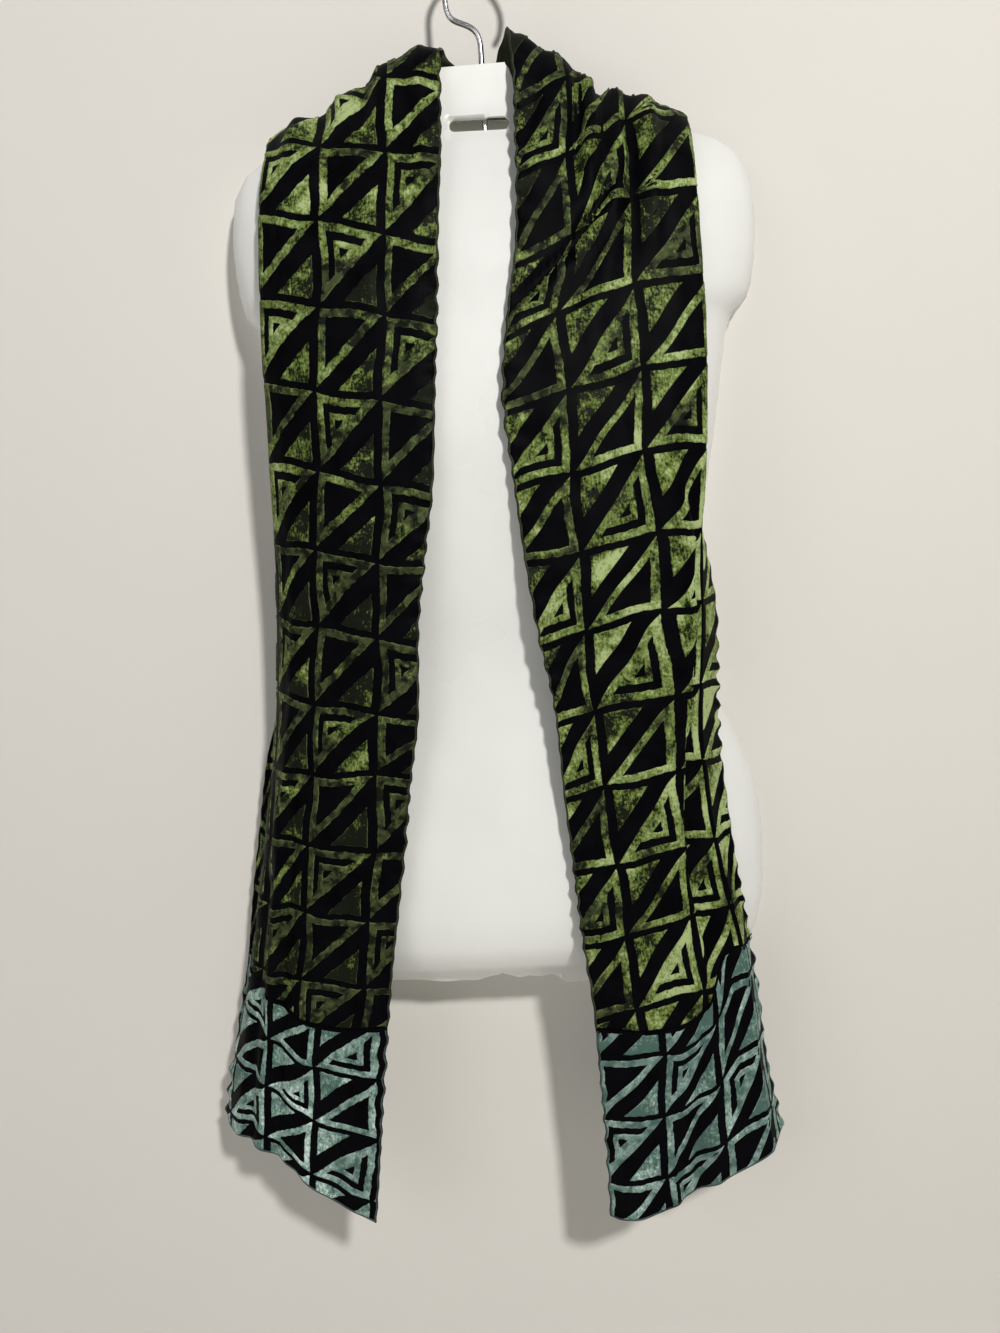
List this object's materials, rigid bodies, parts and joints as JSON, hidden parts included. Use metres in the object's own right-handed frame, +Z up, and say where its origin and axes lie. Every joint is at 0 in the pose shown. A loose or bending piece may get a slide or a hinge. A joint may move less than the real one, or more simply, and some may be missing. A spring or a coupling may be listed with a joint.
{
  "type": "dupatta on a hanging torso form",
  "caption": "Long narrow burnt-out velvet dupatta with triangle pattern and pale end panels, worn round the neck of a white limbless half torso form that hangs from a wire hook.",
  "frame": {"origin": "inside of the hook's top, where it rests on a rail", "axes": "+Z up, the front of the form faces -Y, +X to the right as seen from the front; the hook's wire lies in the plane y = 0"},
  "size_m": [0.4644, 0.1215, 1.0052],
  "materials": {
    "green_velvet": "crushed green pile on black satin ground",
    "teal_velvet": "pale aqua pile on black satin ground",
    "white_plastic": "satin moulded white",
    "hook_chrome": "plated wire"
  },
  "bodies": {
    "root": {"green_front_left": "green_velvet", "green_front_right": "green_velvet", "green_neck": "green_velvet", "teal_end_left": "teal_velvet", "teal_end_right": "teal_velvet", "torso_form": "white_plastic", "wire_hook": "hook_chrome"}
  },
  "joints": []
}
